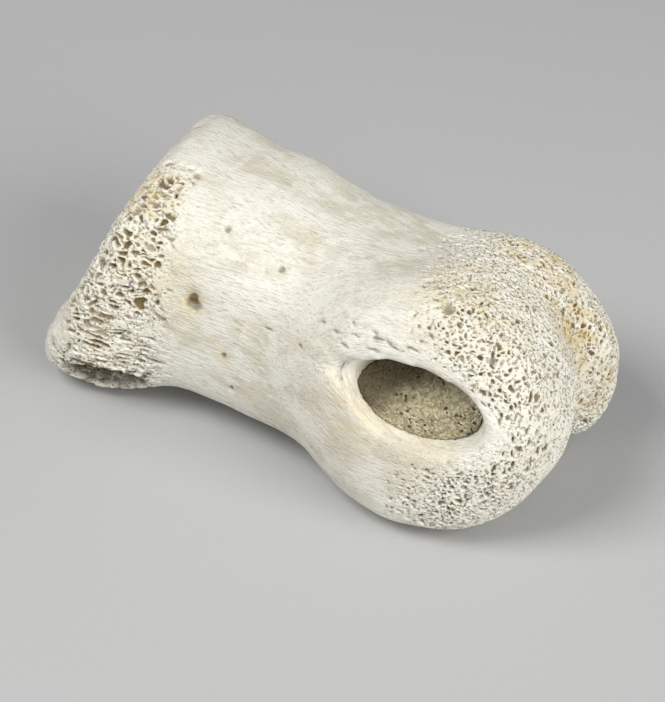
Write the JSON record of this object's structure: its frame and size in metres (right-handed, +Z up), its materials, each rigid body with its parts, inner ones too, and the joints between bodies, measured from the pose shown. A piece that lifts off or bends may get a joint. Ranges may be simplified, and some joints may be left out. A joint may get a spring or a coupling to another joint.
{
  "type": "fossil dinosaur toe bone",
  "caption": "Fossil toe bone of a meat-eating dinosaur: hollowed socket end, narrow waist, grooved condyles, and a ligament pit crusted with sandstone.",
  "frame": {"origin": "centre of the bone's footprint box, on the table it lies on", "axes": "+X along the bone from the socket end to the condyles, +Z up from the table, -Y to the side with the crusted ligament pit"},
  "size_m": [0.0682, 0.0358, 0.0299],
  "materials": {
    "bone": "matte, fibrous shaft and porous ends",
    "sandstone": "matte, grainy"
  },
  "bodies": {
    "root": {"toe_bone": "bone", "pit_matrix": "sandstone"}
  },
  "joints": []
}
